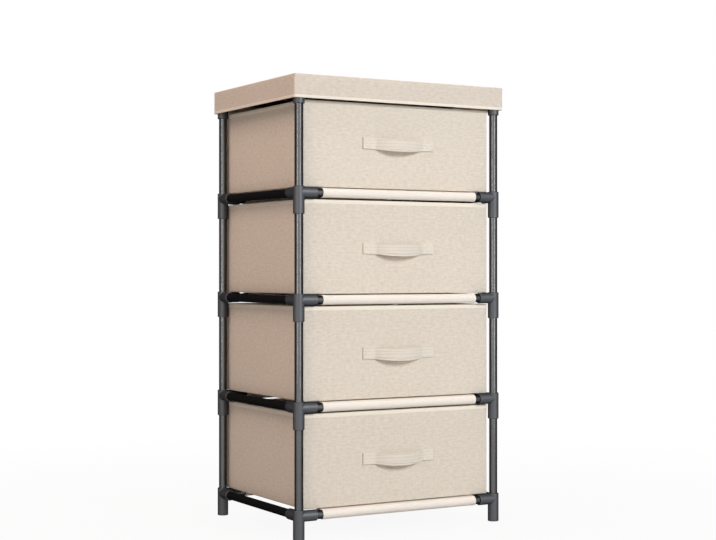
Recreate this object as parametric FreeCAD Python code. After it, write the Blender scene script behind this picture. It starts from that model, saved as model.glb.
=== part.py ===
import FreeCAD, Part
import math
import os

# A free-standing dresser: a frame of push-fit steel tubes in moulded corner connectors, four fabric
# shelf panels sewn round its front and rear rails, four fabric drawers, and a fabric-covered top board.
# Millimetres. +X is to the right, +Y to the back, +Z up. The origin is on the floor, under the middle
# of the object's outline.

# Frame
TIERS = 4
POST_SPACING_X = 437.0
POST_SPACING_Y = 334.0
TIER_PITCH = 200.0
FOOT_HEIGHT = 44.0             # floor to the lowest rail axis
TUBE_OD = 16.0
TUBE_WALL = 0.6

# Moulded connectors
SOCKET_CLEARANCE = 0.05        # round a tube in its socket
CONNECTOR_WALL = 2.7           # round an upright socket
ARM_WALL = 2.45                # round a rail socket
ARM_REACH = 36.0               # post axis to the end of an arm
ARM_END_WALL = 3.0             # between a rail socket and the upright socket
HUB_RISE = 1.0                 # an upright body stands this far above its arms
UPPER_SOCKET_DROP = 12.0       # rail axis down to the floor of the upper socket
SEPTUM = 3.0                   # between the upper and the lower socket
LOWER_SOCKET_DEPTH = 25.0
TOP_SOCKET_DEPTH = 21.0
CONNECTOR_CHAMFER = 0.8

# Cloth and boards
FABRIC = 0.8
SLEEVE_CLEARANCE = 0.05        # round a rail in its sewn sleeve
BARE_RAIL = 11.5               # rail left bare between an arm and the sleeve
TOP_BOARD_THICKNESS = 6.0
BOARD_CLEARANCE = 0.1          # round a board in its cloth
COVER_GAP_X = 3.45             # skirt to the connectors, at the sides
COVER_GAP_Y = 0.45             # skirt to the connectors, at front and back
SKIRT_HEIGHT = 44.0
COVER_CORNER_RADIUS = 4.0
COVER_EDGE_RADIUS = 2.0

# Drawers
DRAWER_SIDE_CLEARANCE = 1.05   # to the connector bodies
DRAWER_FRONT_INSET = 5.0       # front face behind the front post axes
DRAWER_REAR_REACH = 8.0        # rear face behind the rear post axes
DRAWER_REST_GAP = 0.3          # over the arms that carry it
RIM_CLEARANCE = 1.5            # under whatever hangs over the rim
DRAWER_CORNER_RADIUS = 4.0
STIFFENER_THICKNESS = 2.4
BASE_BOARD_CLEARANCE = 1.0
BINDING_THICKNESS = 0.7
BINDING_DROP = 8.0

# Handle straps
STRAP_LENGTH = 159.0
STRAP_WIDTH = 22.0
STRAP_THICKNESS = 1.6
STRAP_BOW = 20.0               # drawer face to the outside of the loop
PATCH_LENGTH = 26.0            # folded end, sewn to the drawer
PATCH_THICKNESS = 3.0
STRAP_ROOT_RADIUS = 20.0       # where the loop leaves its patch
STRAP_HEIGHT = 86.5            # drawer bottom to the middle of the strap

tube_radius = TUBE_OD / 2
socket_radius = tube_radius + SOCKET_CLEARANCE
connector_radius = socket_radius + CONNECTOR_WALL
arm_radius = socket_radius + ARM_WALL
arm_socket_floor = socket_radius + ARM_END_WALL
hub_top = arm_radius + HUB_RISE
lower_socket_roof = UPPER_SOCKET_DROP + SEPTUM

sleeve_bore_radius = tube_radius + SLEEVE_CLEARANCE
sleeve_radius = sleeve_bore_radius + FABRIC

overhang_x = connector_radius + COVER_GAP_X + FABRIC
overhang_y = connector_radius + COVER_GAP_Y + FABRIC

post_x = POST_SPACING_X / 2
front_reach = max(STRAP_BOW - DRAWER_FRONT_INSET, overhang_y)
shift_y = (front_reach - overhang_y) / 2
front_y = shift_y - POST_SPACING_Y / 2
rear_y = shift_y + POST_SPACING_Y / 2

drawer_half_width = post_x - connector_radius - DRAWER_SIDE_CLEARANCE
drawer_face_y = front_y + DRAWER_FRONT_INSET
drawer_rear_y = rear_y + DRAWER_REAR_REACH
pocket = STIFFENER_THICKNESS + 2 * BOARD_CLEARANCE
drawer_wall = pocket + 2 * FABRIC

X_AXIS = FreeCAD.Vector(1, 0, 0)
Y_AXIS = FreeCAD.Vector(0, 1, 0)
Z_AXIS = FreeCAD.Vector(0, 0, 1)
ORIGIN = FreeCAD.Vector(0, 0, 0)


def rail_z(level):
    """Height of the rail axes of a level: 0 is the top frame, TIERS is the lowest one."""
    return FOOT_HEIGHT + TIER_PITCH * (TIERS - level)


top_board_z = rail_z(0) + hub_top
cover_top_z = top_board_z + TOP_BOARD_THICKNESS + FABRIC
skirt_bottom_z = cover_top_z - SKIRT_HEIGHT


def block(x, y, z):
    """Box between the (low, high) pairs x, y and z."""
    corner = FreeCAD.Vector(x[0], y[0], z[0])
    return Part.makeBox(x[1] - x[0], y[1] - y[0], z[1] - z[0], corner)


def rounded_block(x, y, z, radius):
    """Box with its four upright edges rounded."""
    plain = block(x, y, z)
    upright = [edge for edge in plain.Edges if edge.BoundBox.ZLength > (z[1] - z[0]) / 2]
    return plain.makeFillet(radius, upright)


def grown(span, margin):
    """A (low, high) pair made longer by margin at each end."""
    return (span[0] - margin, span[1] + margin)


def rod(radius, start, direction, length):
    """Plain round bar."""
    return Part.makeCylinder(radius, length, start, direction)


def chamfered_rod(radius, start, direction, length, near_end):
    """Round bar with a chamfer at its far end, and at its near end too if near_end is set."""
    bar = rod(radius, start, direction, length)
    ends = [start + direction * length]
    if near_end:
        ends.append(start)
    rims = [edge for edge in bar.Edges if edge.Closed and any(
        (edge.CenterOfMass - end).Length < radius / 2 for end in ends)]
    return bar.makeChamfer(CONNECTOR_CHAMFER, rims)


def steel_tube(start, direction, length):
    """One cut length of the frame's tube."""
    bore = rod(tube_radius - TUBE_WALL, start, direction, length)
    return rod(tube_radius, start, direction, length).cut(bore)


def connector(top, bottom, upper_socket, lower_socket):
    """Connector at the origin, with rail arms along +X and +Y and an upright body from bottom to top."""
    base = FreeCAD.Vector(0, 0, bottom)
    moulding = chamfered_rod(connector_radius, base, Z_AXIS, top - bottom, near_end=True)
    for direction in (X_AXIS, Y_AXIS):
        moulding = moulding.fuse(chamfered_rod(arm_radius, ORIGIN, direction, ARM_REACH, near_end=False))
    for direction in (X_AXIS, Y_AXIS):
        socket = rod(socket_radius, direction * arm_socket_floor, direction, ARM_REACH)
        moulding = moulding.cut(socket)
    if upper_socket:
        floor = FreeCAD.Vector(0, 0, -UPPER_SOCKET_DROP)
        moulding = moulding.cut(rod(socket_radius, floor, Z_AXIS, top + UPPER_SOCKET_DROP))
    if lower_socket:
        depth = -lower_socket_roof - bottom
        moulding = moulding.cut(rod(socket_radius, base, Z_AXIS, depth))
    return moulding.removeSplitter()


def at_corners(shape, z):
    """Four copies at the posts, each turned so that its arms point inwards."""
    places = ((-post_x, front_y), (post_x, front_y), (post_x, rear_y), (-post_x, rear_y))
    copies = []
    for quarter_turns, (x, y) in enumerate(places):
        copy = shape.copy()
        copy.rotate(ORIGIN, Z_AXIS, 90 * quarter_turns)
        copy.translate(FreeCAD.Vector(x, y, z))
        copies.append(copy)
    return copies


def cross_rail(y, z):
    """Front or rear rail, seated in the arms at its two ends."""
    start = FreeCAD.Vector(-post_x + arm_socket_floor, y, z)
    return steel_tube(start, X_AXIS, POST_SPACING_X - 2 * arm_socket_floor)


def side_rails(z):
    """Left and right rail of one level."""
    length = POST_SPACING_Y - 2 * arm_socket_floor
    return [steel_tube(FreeCAD.Vector(x, front_y + arm_socket_floor, z), Y_AXIS, length)
            for x in (-post_x, post_x)]


def shelf_panel(z):
    """Sheet of cloth over the front and rear rails, with a sleeve round each."""
    half_width = post_x - ARM_REACH - BARE_RAIL
    width = 2 * half_width
    panel = block((-half_width, half_width), (front_y, rear_y),
                  (z + sleeve_bore_radius, z + sleeve_radius))
    bores = []
    for y in (front_y, rear_y):
        start = FreeCAD.Vector(-half_width, y, z)
        panel = panel.fuse(rod(sleeve_radius, start, X_AXIS, width))
        bores.append(rod(sleeve_bore_radius, start, X_AXIS, width))
    return panel.cut(bores).removeSplitter()


def top_board():
    """Board that lies on the top connectors."""
    inset = FABRIC + BOARD_CLEARANCE
    return block(grown((-post_x, post_x), overhang_x - inset),
                 grown((front_y, rear_y), overhang_y - inset),
                 (top_board_z, top_board_z + TOP_BOARD_THICKNESS))


def top_cover():
    """Fitted cloth cover over the board, with a skirt that hides the top rails."""
    x = grown((-post_x, post_x), overhang_x)
    y = grown((front_y, rear_y), overhang_y)
    outside = rounded_block(x, y, (skirt_bottom_z, cover_top_z), COVER_CORNER_RADIUS)
    crown = [edge for edge in outside.Edges if edge.BoundBox.ZMin > cover_top_z - FABRIC]
    outside = outside.makeFillet(COVER_EDGE_RADIUS, crown)
    inside = block(grown(x, -FABRIC), grown(y, -FABRIC), (skirt_bottom_z, cover_top_z - FABRIC))
    return outside.cut(inside)


def board_pockets(x, y, z):
    """Spaces for the stiffening boards inside the walls: the two end walls, then the two side walls."""
    along_x = grown(x, -drawer_wall)
    along_y = grown(y, -drawer_wall)
    low_x = (x[0] + FABRIC, x[0] + FABRIC + pocket)
    high_x = (x[1] - FABRIC - pocket, x[1] - FABRIC)
    low_y = (y[0] + FABRIC, y[0] + FABRIC + pocket)
    high_y = (y[1] - FABRIC - pocket, y[1] - FABRIC)
    ends = [(along_x, low_y, z), (along_x, high_y, z)]
    sides = [(low_x, along_y, z), (high_x, along_y, z)]
    return ends, sides


def boards_in(pockets):
    """One board standing in each pocket, with clearance round its edges and faces."""
    return [block(grown(x, -BOARD_CLEARANCE), grown(y, -BOARD_CLEARANCE), (z[0], z[1] - BOARD_CLEARANCE))
            for x, y, z in pockets]


def strap_arc(centre, radius, from_angle, to_angle):
    """Arc in the horizontal plane; angles in radians from +X."""
    points = []
    for angle in (from_angle, (from_angle + to_angle) / 2, to_angle):
        points.append(FreeCAD.Vector(centre[0] + radius * math.cos(angle),
                                     centre[1] + radius * math.sin(angle), 0))
    return Part.Arc(*points).toShape()


def handle_strap(z):
    """Webbing strap: a loop that bows out from the drawer face, between two sewn patches."""
    half_loop = STRAP_LENGTH / 2 - PATCH_LENGTH
    half = STRAP_THICKNESS / 2
    root_y = -PATCH_THICKNESS / 2
    rise = STRAP_BOW - half + root_y
    turn = 2 * math.atan(rise / half_loop)
    crest_radius = half_loop / math.sin(turn) - STRAP_ROOT_RADIUS
    crest = (0, root_y - rise + crest_radius)
    left_root = (-half_loop, root_y - STRAP_ROOT_RADIUS)
    right_root = (half_loop, root_y - STRAP_ROOT_RADIUS)
    down = -math.pi / 2
    up = math.pi / 2
    edges = []
    for side in (half, -half):
        edges.append(strap_arc(left_root, STRAP_ROOT_RADIUS - side, up, up - turn))
        edges.append(strap_arc(crest, crest_radius + side, down - turn, down + turn))
        edges.append(strap_arc(right_root, STRAP_ROOT_RADIUS - side, up + turn, up))
    for x in (-half_loop, half_loop):
        edges.append(Part.LineSegment(FreeCAD.Vector(x, root_y - half, 0),
                                      FreeCAD.Vector(x, root_y + half, 0)).toShape())
    outline = Part.Wire(Part.__sortEdges__(edges))
    strap = Part.Face(outline).extrude(Z_AXIS * STRAP_WIDTH)
    for x in ((-half_loop - PATCH_LENGTH, -half_loop), (half_loop, half_loop + PATCH_LENGTH)):
        strap = strap.fuse(block(x, (-PATCH_THICKNESS, 0), (0, STRAP_WIDTH)))
    strap.translate(FreeCAD.Vector(0, drawer_face_y, z - STRAP_WIDTH / 2))
    return strap.removeSplitter()


def drawer(number):
    """The named pieces of one drawer; drawer 1 is the top one."""
    bottom = rail_z(number) + arm_radius + DRAWER_REST_GAP
    ceiling = skirt_bottom_z if number == 1 else rail_z(number - 1) - arm_radius
    rim = ceiling - RIM_CLEARANCE
    wall_top = rim - BINDING_THICKNESS
    x = (-drawer_half_width, drawer_half_width)
    y = (drawer_face_y, drawer_rear_y)
    inner_x = grown(x, -drawer_wall)
    inner_y = grown(y, -drawer_wall)
    floor = bottom + FABRIC

    box = rounded_block(x, y, (bottom, wall_top), DRAWER_CORNER_RADIUS)
    walls = box.cut(block(inner_x, inner_y, (floor, rim)))
    end_pockets, side_pockets = board_pockets(x, y, (floor, wall_top))
    shell = walls.cut([block(*space) for space in end_pockets + side_pockets])

    band = rounded_block(grown(x, BINDING_THICKNESS), grown(y, BINDING_THICKNESS),
                         (rim - BINDING_DROP, rim), DRAWER_CORNER_RADIUS + BINDING_THICKNESS)
    mouth = block(grown(inner_x, -BINDING_THICKNESS), grown(inner_y, -BINDING_THICKNESS), (floor, rim))
    binding = band.cut(mouth).cut(walls)

    base_board = block(grown(inner_x, -BASE_BOARD_CLEARANCE), grown(inner_y, -BASE_BOARD_CLEARANCE),
                       (floor, floor + STIFFENER_THICKNESS))
    return {
        "shell": [shell],
        "end_boards": boards_in(end_pockets),
        "side_boards": boards_in(side_pockets),
        "base_board": [base_board],
        "rim_binding": [binding],
        "handle_strap": [handle_strap(bottom + STRAP_HEIGHT)],
    }


def write(node, solids):
    """Write one node's solids to parts/NODE.step."""
    shape = solids[0] if len(solids) == 1 else Part.makeCompound(solids)
    if not shape.isValid():
        raise ValueError(node + " is not a valid shape")
    shape.exportStep(os.path.join("parts", node + ".step"))


def write_frame():
    """Posts, connectors, rails and shelf panels."""
    mid_bottom = -lower_socket_roof - LOWER_SOCKET_DEPTH
    top_bottom = -lower_socket_roof - TOP_SOCKET_DEPTH
    tee = connector(hub_top, mid_bottom, upper_socket=True, lower_socket=True)
    top_corner = connector(hub_top, top_bottom, upper_socket=False, lower_socket=True)
    foot = connector(hub_top, -FOOT_HEIGHT, upper_socket=True, lower_socket=False)
    post_tube = steel_tube(FreeCAD.Vector(0, 0, -UPPER_SOCKET_DROP), Z_AXIS, TIER_PITCH - SEPTUM)

    for level in range(TIERS + 1):
        z = rail_z(level)
        name = "top" if level == 0 else str(level)
        write("front_rail_" + name, [cross_rail(front_y, z)])
        write("rear_rail_" + name, [cross_rail(rear_y, z)])
        write("side_rails_" + name, side_rails(z))
        if level == 0:
            write("top_corner_connectors", at_corners(top_corner, z))
            continue
        write("post_tubes_" + name, at_corners(post_tube, z))
        write("shelf_panel_" + name, [shelf_panel(z)])
        if level == TIERS:
            write("foot_connectors", at_corners(foot, z))
        else:
            write("tee_connectors_" + name, at_corners(tee, z))


def write_drawers():
    """Every piece of every drawer."""
    for number in range(1, TIERS + 1):
        for piece, solids in drawer(number).items():
            write("drawer_{}_{}".format(number, piece), solids)


os.makedirs("parts", exist_ok=True)
write_frame()
write("top_board", [top_board()])
write("top_cover", [top_cover()])
write_drawers()
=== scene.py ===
import logging
import math
from collections.abc import Iterable, Sequence
from dataclasses import dataclass
from enum import Enum
from functools import cache

import bmesh
import bpy
from bmesh.types import BMEdge, BMesh, BMVert
from bpy.types import Material, Node, NodeSocket, NodeTree, Object
from mathutils import Matrix, Vector, noise


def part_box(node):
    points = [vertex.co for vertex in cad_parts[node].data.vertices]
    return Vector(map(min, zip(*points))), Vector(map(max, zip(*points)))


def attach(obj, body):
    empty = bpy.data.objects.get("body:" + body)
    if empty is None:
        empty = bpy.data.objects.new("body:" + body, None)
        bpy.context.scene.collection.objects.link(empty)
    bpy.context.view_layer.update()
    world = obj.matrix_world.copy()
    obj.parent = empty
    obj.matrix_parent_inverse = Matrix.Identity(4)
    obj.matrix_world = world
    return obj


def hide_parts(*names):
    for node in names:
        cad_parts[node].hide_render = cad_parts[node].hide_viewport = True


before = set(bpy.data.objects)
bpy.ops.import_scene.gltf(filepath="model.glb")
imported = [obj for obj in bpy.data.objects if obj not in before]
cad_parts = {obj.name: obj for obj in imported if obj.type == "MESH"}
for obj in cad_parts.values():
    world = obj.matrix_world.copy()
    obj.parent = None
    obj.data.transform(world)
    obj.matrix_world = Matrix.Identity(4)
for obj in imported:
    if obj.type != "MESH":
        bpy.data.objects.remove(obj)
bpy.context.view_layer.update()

# Looks of a free-standing dresser: cloth drawers, cloth shelves and a cloth-covered top on a frame of
# black tube. Metres. +X is to the right, +Y to the back, +Z up.

LOG = logging.getLogger("dresser")
CLOTH_MAP = "cloth"                # name of the map that the cloth finishes are laid out on
RUN_LAYER = "run"                  # length along a lapped cloth, from its first edge
MM = 0.001
TINY = 1e-6
MERGE_LIMIT = 10 * TINY            # points closer than this become one
SMOOTH_LIMIT = math.radians(38)    # faces that meet at more than this keep a sharp edge
CORNER_SEGMENTS = 5                # of the upright corners of cloth walls
TIERS = 4
WHITE = (1.0, 1.0, 1.0, 1.0)


class Slot(Enum):
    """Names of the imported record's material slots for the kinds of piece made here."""

    SHELF_CLOTH = "shelf_cloth"
    COVER_CLOTH = "cover_cloth"
    DRAWER_CLOTH = "drawer_cloth"
    BINDING_CLOTH = "binding_cloth"
    STRAP_WEBBING = "strap_webbing"


class Wave(Enum):
    """The two waves that a finish can be drawn with."""

    SINE = "SINE"
    COSINE = "COSINE"


class Axis(Enum):
    """The three directions of the frame."""

    X = 0
    Y = 1
    Z = 2

    @property
    def unit(self) -> Vector:
        """The direction as a vector of length one."""
        return Vector([float(self.value == index) for index in range(3)])


@dataclass(frozen=True)
class Box:
    """The space between two corners."""

    low: Vector
    high: Vector

    @classmethod
    def of_node(cls, node: str) -> "Box":
        """The space that a CAD node takes at rest."""
        return cls(*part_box(node))

    @property
    def size(self) -> Vector:
        """Length along each axis."""
        return self.high - self.low

    @property
    def centre(self) -> Vector:
        """Middle of the box."""
        return (self.low + self.high) / 2

    def grown(self, x: float, y: float, z: float = 0.0) -> "Box":
        """The box with each pair of sides moved outwards by a margin."""
        margin = Vector((x, y, z))
        return Box(self.low - margin, self.high + margin)

    def between(self, axis: Axis, low: float, high: float) -> "Box":
        """The box with its span along one axis replaced.

        Args:
            axis: the axis whose span changes.
            low: where the new span starts.
            high: where the new span ends.

        Returns:
            The new box.
        """
        corners = (self.low.copy(), self.high.copy())
        corners[0][axis.value] = low
        corners[1][axis.value] = high
        return Box(*corners)


# --------------------------------------------------------------------------------------------------
# Node trees


class Wiring:
    """Places nodes in one node tree and joins their sockets."""

    def __init__(self, tree: NodeTree) -> None:
        """Work on an existing tree."""
        self.tree = tree

    def feed(self, socket: NodeSocket, value: object) -> None:
        """Link a socket to another one, or set its own value.

        Args:
            socket: the input socket.
            value: the output socket to link it to, or its own value.
        """
        if isinstance(value, NodeSocket):
            self.tree.links.new(value, socket)
        else:
            socket.default_value = value

    def feed_all(self, node: Node, inputs: dict[str, object]) -> None:
        """Feed several input sockets of one node, by their names."""
        for name, value in inputs.items():
            self.feed(node.inputs[name], value)

    def add(self, kind: str, inputs: dict[str, object] | None = None, **settings: object) -> Node:
        """Add one node.

        Args:
            kind: the node's type name.
            inputs: what feeds each named input socket: a value or another socket.
            **settings: the node's own properties.

        Returns:
            The new node.
        """
        node = self.tree.nodes.new(kind)
        for name, value in settings.items():
            setattr(node, name, value)
        self.feed_all(node, inputs or {})
        return node

    def calc(self, operation: str, *values: object, clamp: bool = False) -> NodeSocket:
        """Add a Math node.

        Args:
            operation: what the node works out.
            *values: up to three values or sockets to work on.
            clamp: whether the result is kept between 0 and 1.

        Returns:
            The node's result.
        """
        node = self.add("ShaderNodeMath", operation=operation, use_clamp=clamp)
        for socket, value in zip(node.inputs, values):
            self.feed(socket, value)
        return node.outputs[0]

    def wave(self, kind: Wave, place: NodeSocket, rate: float) -> NodeSocket:
        """A wave along a length, at so many radians per unit."""
        return self.calc(kind.value, self.calc("MULTIPLY", place, rate))

    def scaled(self, vector: object, scale: NodeSocket) -> NodeSocket:
        """Add a node that scales a vector.

        Args:
            vector: a vector or a socket that gives one.
            scale: the number that it is multiplied by.

        Returns:
            The scaled vector.
        """
        node = self.add("ShaderNodeVectorMath", {"Scale": scale}, operation="SCALE")
        self.feed(node.inputs[0], vector)
        return node.outputs[0]

    def stretched(self, vector: NodeSocket, lengths: Sequence[float]) -> NodeSocket:
        """Add a node that measures a vector in units of its own along each axis.

        Args:
            vector: the vector to measure.
            lengths: the unit along each axis.

        Returns:
            The vector in those units.
        """
        node = self.add("ShaderNodeVectorMath", operation="DIVIDE")
        self.feed(node.inputs[0], vector)
        self.feed(node.inputs[1], tuple(lengths))
        return node.outputs[0]

    def blotches(self, vector: NodeSocket, detail: float = 2.0) -> NodeSocket:
        """Cloudy values about zero, from about -1 to 1, over a vector with one blotch per unit."""
        texture = self.add("ShaderNodeTexNoise", {"Vector": vector, "Scale": 1.0, "Detail": detail})
        return self.calc("MULTIPLY_ADD", texture.outputs["Fac"], 2.0, -1.0)

    def on_cloth(self) -> NodeSocket:
        """Places on the cloth's own map, in metres."""
        return self.add("ShaderNodeUVMap", uv_map=CLOTH_MAP).outputs["UV"]

    def on_object(self) -> NodeSocket:
        """Places in the piece's own space, in metres."""
        return self.add("ShaderNodeTexCoord").outputs["Object"]

    def split(self, vector: NodeSocket) -> Node:
        """A node that puts out a vector's X, Y and Z."""
        return self.add("ShaderNodeSeparateXYZ", {"Vector": vector})

    def effect(self, group: NodeTree, inputs: dict[str, object]) -> Node:
        """Place a shared effect with its own values.

        Args:
            group: the effect.
            inputs: what feeds each of its inputs.

        Returns:
            The group's node.
        """
        node = self.add("ShaderNodeGroup")
        node.node_tree = group
        self.feed_all(node, inputs)
        return node

    def relief(self, height: NodeSocket, depth: float) -> NodeSocket:
        """A normal that follows a height from 0 to 1, over a depth in metres."""
        bump = self.add("ShaderNodeBump", {"Height": height, "Distance": depth})
        return bump.outputs["Normal"]

    def mixed(self, share: NodeSocket, first: Node, second: Node) -> NodeSocket:
        """Mix two shaders.

        Args:
            share: the second shader's share.
            first: the first shader.
            second: the second shader.

        Returns:
            The mixed shader.
        """
        node = self.add("ShaderNodeMixShader", {"Fac": share})
        self.feed(node.inputs[1], first.outputs[0])
        self.feed(node.inputs[2], second.outputs[0])
        return node.outputs[0]


class Effect(Wiring):
    """A shader node group in the making: named inputs, named outputs and the nodes between them."""

    def __init__(self, name: str, inputs: dict[str, str], outputs: Iterable[str]) -> None:
        """Start a group.

        Args:
            name: the group's name.
            inputs: the type name of each input socket.
            outputs: names of the output sockets, which are all plain numbers.
        """
        tree = bpy.data.node_groups.new(name, "ShaderNodeTree")
        for label, kind in inputs.items():
            tree.interface.new_socket(name=label, in_out="INPUT", socket_type=kind)
        for label in outputs:
            tree.interface.new_socket(name=label, in_out="OUTPUT", socket_type="NodeSocketFloat")
        super().__init__(tree)
        self.given = self.add("NodeGroupInput").outputs
        self.result = self.add("NodeGroupOutput").inputs


@cache
def plain_weave() -> NodeTree:
    """Yarns that pass over and under each other, with thick slubs and a soft mottle.

    Returns:
        A group that puts out a Tone about 1 and a Height from 0 to 1, on a map in metres.
    """
    weft_slub = (0.0105, 0.0039, 1.0)
    warp_slub = (0.0036, 0.0130, 1.0)
    mottle_size = (0.11, 0.09, 1.0)
    wander_size = (0.016, 0.016, 1.0)
    wander = 0.8                       # most that a yarn strays, in yarns
    crossing = 1.6                     # how sharply a yarn dives under the next
    warp_share = 0.45                  # of the slubs, against 1 for the weft's
    mean_crown = 0.72
    yarn_height = 0.6
    slub_height = 0.25
    weave = Effect("plain_weave",
                   {"Vector": "NodeSocketVector", "Yarn": "NodeSocketFloat", "Slub": "NodeSocketFloat",
                    "Mottle": "NodeSocketFloat", "GapShade": "NodeSocketFloat"},
                   ("Tone", "Height"))
    place = weave.given["Vector"]
    split = weave.split(place)
    drift = weave.blotches(weave.stretched(place, wander_size))
    crowns = []
    for label in ("X", "Y"):
        yarns = weave.calc("DIVIDE", split.outputs[label], weave.given["Yarn"])
        crowns.append(weave.wave(Wave.SINE, weave.calc("MULTIPLY_ADD", drift, wander, yarns), math.pi))
    over = weave.calc("MULTIPLY_ADD", weave.calc("MULTIPLY", *crowns), crossing, 0.5, clamp=True)
    warp, weft = (weave.calc("ABSOLUTE", crown) for crown in crowns)
    crown = weave.calc("MULTIPLY_ADD", over, weave.calc("SUBTRACT", weft, warp), warp)

    thick_weft = weave.blotches(weave.stretched(place, weft_slub))
    thick_warp = weave.blotches(weave.stretched(place, warp_slub))
    cloudy = weave.blotches(weave.stretched(place, mottle_size))
    slubs = weave.calc("MULTIPLY_ADD", thick_warp, warp_share, thick_weft)
    tone = weave.calc("MULTIPLY_ADD", slubs, weave.given["Slub"], 1.0)
    tone = weave.calc("MULTIPLY_ADD", cloudy, weave.given["Mottle"], tone)
    # Painted shade: the tone darkens where the yarns dip between their crowns.
    gap = weave.calc("SUBTRACT", crown, mean_crown)
    tone = weave.calc("MULTIPLY_ADD", gap, weave.given["GapShade"], tone)
    height = weave.calc("MULTIPLY_ADD", slubs, slub_height, weave.calc("MULTIPLY", crown, yarn_height))
    weave.feed(weave.result["Tone"], tone)
    weave.feed(weave.result["Height"], height)
    return weave.tree


@cache
def fine_grain() -> NodeTree:
    """Even grain with a slow unevenness over it, as on paint, moulded plastic or pressed board.

    Returns:
        A group that puts out a Tone about 1, a Height from 0 to 1 and an Unevenness about 0.
    """
    slow = 40.0                        # length of the unevenness, in grains
    detail = 3.0
    grain = Effect("fine_grain",
                   {"Vector": "NodeSocketVector", "Size": "NodeSocketFloat",
                    "Contrast": "NodeSocketFloat"},
                   ("Tone", "Height", "Unevenness"))
    place = grain.scaled(grain.given["Vector"], grain.calc("DIVIDE", 1.0, grain.given["Size"]))
    fine = grain.blotches(place, detail)
    cloudy = grain.blotches(grain.stretched(place, (slow, slow, slow)), detail)
    tone = grain.calc("MULTIPLY_ADD", fine, grain.given["Contrast"], 1.0)
    grain.feed(grain.result["Tone"], tone)
    grain.feed(grain.result["Height"], grain.calc("MULTIPLY_ADD", fine, 0.5, 0.5))
    grain.feed(grain.result["Unevenness"], cloudy)
    return grain.tree


# --------------------------------------------------------------------------------------------------
# Finishes


@dataclass(frozen=True)
class Colour:
    """A colour as a screen shows it, each part from 0 to 255."""

    red: int
    green: int
    blue: int

    @property
    def linear(self) -> tuple[float, float, float]:
        """The colour in linear light.

        Returns:
            Red, green and blue, each from 0 to 1.
        """
        parts = (part / 255 for part in (self.red, self.green, self.blue))
        return tuple(part / 12.92 if part <= 0.04045 else ((part + 0.055) / 1.055) ** 2.4
                     for part in parts)


@dataclass(frozen=True)
class Finish:
    """One kind of surface: its name, its colour and how rough it is. Lengths are in metres."""

    name: str
    colour: Colour
    roughness: float

    def wire(self, wiring: Wiring, shader: Node) -> None:
        """Add the finish's own detail to its material; a finish of its own kind says what."""
        raise NotImplementedError(self.name)

    def tint(self, wiring: Wiring, shader: Node, tone: NodeSocket) -> None:
        """Let the colour follow a tone that changes over the surface."""
        wiring.feed(shader.inputs["Base Color"], wiring.scaled(self.colour.linear, tone))

    @cache
    def material(self) -> Material:
        """The finish as a material, made once.

        Returns:
            The material.
        """
        material = bpy.data.materials.new(self.name)
        material.use_nodes = True
        shader = material.node_tree.nodes["Principled BSDF"]
        shader.inputs["Base Color"].default_value = (*self.colour.linear, 1.0)
        shader.inputs["Roughness"].default_value = self.roughness
        material.diffuse_color = (*self.colour.linear, 1.0)
        self.wire(Wiring(material.node_tree), shader)
        return material


@dataclass(frozen=True)
class WovenCloth(Finish):
    """Linen-look cloth. Slub, mottle and gap shade are shares of the colour; the gap shade is painted
    shade where the yarns dip.
    """

    yarn: float = 0.62 * MM
    slub: float = 0.05
    mottle: float = 0.02
    gap_shade: float = 0.16
    depth: float = 0.5                 # of the weave, in yarns
    shine: float = 0.2
    fuzz: float = 0.12
    fuzz_roughness: float = 0.6

    def wire(self, wiring: Wiring, shader: Node) -> None:
        """Lay weave, slubs and mottle on the cloth's own map.

        Args:
            wiring: the material's nodes.
            shader: its main shader.
        """
        weave = wiring.effect(plain_weave(), {"Vector": wiring.on_cloth(), "Yarn": self.yarn,
                                              "Slub": self.slub, "Mottle": self.mottle,
                                              "GapShade": self.gap_shade})
        self.tint(wiring, shader, weave.outputs["Tone"])
        wiring.feed_all(shader, {
            "Normal": wiring.relief(weave.outputs["Height"], self.yarn * self.depth),
            "Specular IOR Level": self.shine,
            "Sheen Weight": self.fuzz,
            "Sheen Roughness": self.fuzz_roughness})


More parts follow.
